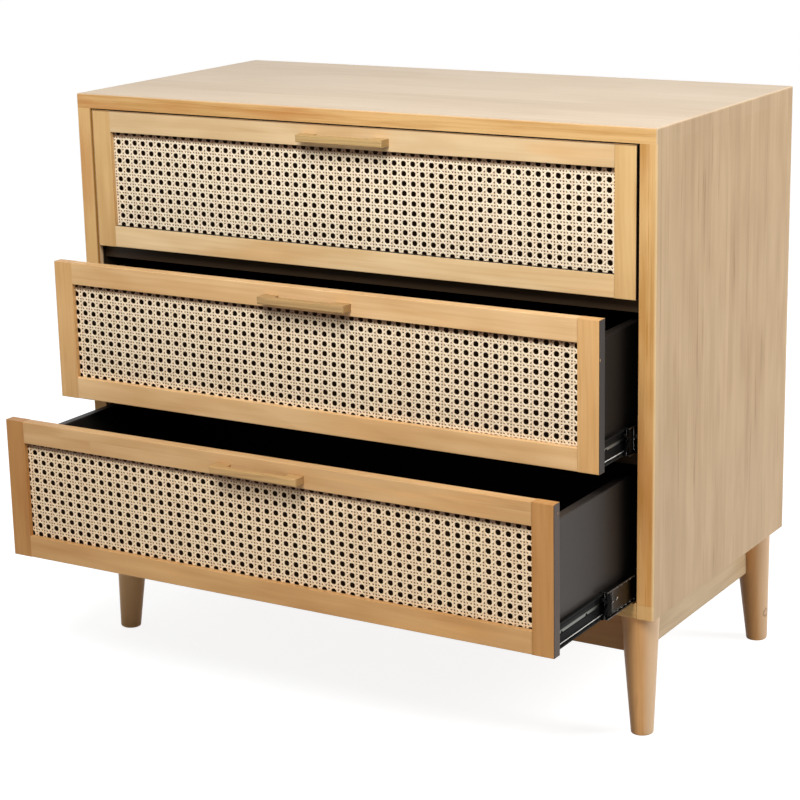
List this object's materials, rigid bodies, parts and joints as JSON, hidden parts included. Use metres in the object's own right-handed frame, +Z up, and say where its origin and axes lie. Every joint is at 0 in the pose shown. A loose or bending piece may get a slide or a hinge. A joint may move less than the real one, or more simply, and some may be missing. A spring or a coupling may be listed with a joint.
{
  "type": "chest of drawers",
  "caption": "Free-standing cabinet with framed cane drawer fronts on splayed legs; the drawers slide on full-extension runners and stand open by different amounts.",
  "frame": {"origin": "On the floor under the centre of the box round the whole object at rest, with the middle and bottom drawers drawn out as they stand. The front edges of the case lie 89.5 mm towards -Y of it, and the back of the case 305.5 mm towards +Y.", "axes": "+Z up, the drawer fronts face -Y, +X towards the right side panel as seen from the front"},
  "size_m": [0.8, 0.611, 0.715],
  "materials": {
    "front_wood": "honey wood, satin lacquer",
    "top_wood": "pale washed wood, satin lacquer",
    "side_wood": "beige wood with upright grain, satin lacquer",
    "leg_wood": "tan wood, satin lacquer",
    "handle_wood": "khaki wood, satin lacquer",
    "cane": "natural woven cane",
    "dark_paint": "board painted dark grey, satin",
    "runner_steel": "black coated steel",
    "screw_steel": "zinc plated",
    "dowel_wood": "bare wood"
  },
  "bodies": {
    "case": {"top_panel": "top_wood", "left_side_panel": "side_wood", "right_side_panel": "side_wood", "bottom_panel": "front_wood", "back_panel": "dark_paint", "upper_divider_rail": "dark_paint", "lower_divider_rail": "dark_paint", "front_apron": "leg_wood", "rear_apron": "leg_wood", "left_apron": "leg_wood", "right_apron": "leg_wood", "front_left_leg": "leg_wood", "front_right_leg": "leg_wood", "rear_left_leg": "leg_wood", "rear_right_leg": "leg_wood", "cabinet_runners": "runner_steel", "case_dowels": "dowel_wood", "leg_screws": "screw_steel", "back_panel_screws": "screw_steel", "runner_screws": "screw_steel"},
    "top_drawer": {"top_drawer_top_rail": "front_wood", "top_drawer_bottom_rail": "front_wood", "top_drawer_stiles": "front_wood", "top_drawer_cane_panel": "cane", "top_drawer_handle": "handle_wood", "top_drawer_handle_screws": "screw_steel", "top_drawer_box_front": "dark_paint", "top_drawer_box_left_side": "dark_paint", "top_drawer_box_right_side": "dark_paint", "top_drawer_box_back": "dark_paint", "top_drawer_box_floor": "dark_paint", "top_drawer_drawer_runners": "runner_steel"},
    "top_drawer_mid_runner_body": {"top_drawer_mid_runners": "runner_steel"},
    "middle_drawer": {"middle_drawer_top_rail": "front_wood", "middle_drawer_bottom_rail": "front_wood", "middle_drawer_stiles": "front_wood", "middle_drawer_cane_panel": "cane", "middle_drawer_handle": "handle_wood", "middle_drawer_handle_screws": "screw_steel", "middle_drawer_box_front": "dark_paint", "middle_drawer_box_left_side": "dark_paint", "middle_drawer_box_right_side": "dark_paint", "middle_drawer_box_back": "dark_paint", "middle_drawer_box_floor": "dark_paint", "middle_drawer_drawer_runners": "runner_steel"},
    "middle_drawer_mid_runner_body": {"middle_drawer_mid_runners": "runner_steel"},
    "bottom_drawer": {"bottom_drawer_top_rail": "front_wood", "bottom_drawer_bottom_rail": "front_wood", "bottom_drawer_stiles": "front_wood", "bottom_drawer_cane_panel": "cane", "bottom_drawer_handle": "handle_wood", "bottom_drawer_handle_screws": "screw_steel", "bottom_drawer_box_front": "dark_paint", "bottom_drawer_box_left_side": "dark_paint", "bottom_drawer_box_right_side": "dark_paint", "bottom_drawer_box_back": "dark_paint", "bottom_drawer_box_floor": "dark_paint", "bottom_drawer_drawer_runners": "runner_steel"},
    "bottom_drawer_mid_runner_body": {"bottom_drawer_mid_runners": "runner_steel"}
  },
  "joints": [
    {"name": "top_drawer_slide", "type": "slide", "parent": "case", "child": "top_drawer", "axis": [0, -1, 0], "range_m": [0, 0.35]},
    {"name": "top_drawer_mid_runner_slide", "type": "slide", "parent": "case", "child": "top_drawer_mid_runner_body", "axis": [0, -1, 0], "range_m": [0, 0.175]},
    {"name": "middle_drawer_slide", "type": "slide", "parent": "case", "child": "middle_drawer", "axis": [0, -1, 0], "range_m": [-0.091, 0.259]},
    {"name": "middle_drawer_mid_runner_slide", "type": "slide", "parent": "case", "child": "middle_drawer_mid_runner_body", "axis": [0, -1, 0], "range_m": [-0.0455, 0.1295]},
    {"name": "bottom_drawer_slide", "type": "slide", "parent": "case", "child": "bottom_drawer", "axis": [0, -1, 0], "range_m": [-0.199, 0.151]},
    {"name": "bottom_drawer_mid_runner_slide", "type": "slide", "parent": "case", "child": "bottom_drawer_mid_runner_body", "axis": [0, -1, 0], "range_m": [-0.0995, 0.0755]}
  ],
  "couplings": [
    {"joint": "top_drawer_mid_runner_slide", "follows": "top_drawer_slide", "ratio": 0.5},
    {"joint": "middle_drawer_mid_runner_slide", "follows": "middle_drawer_slide", "ratio": 0.5},
    {"joint": "bottom_drawer_mid_runner_slide", "follows": "bottom_drawer_slide", "ratio": 0.5}
  ]
}
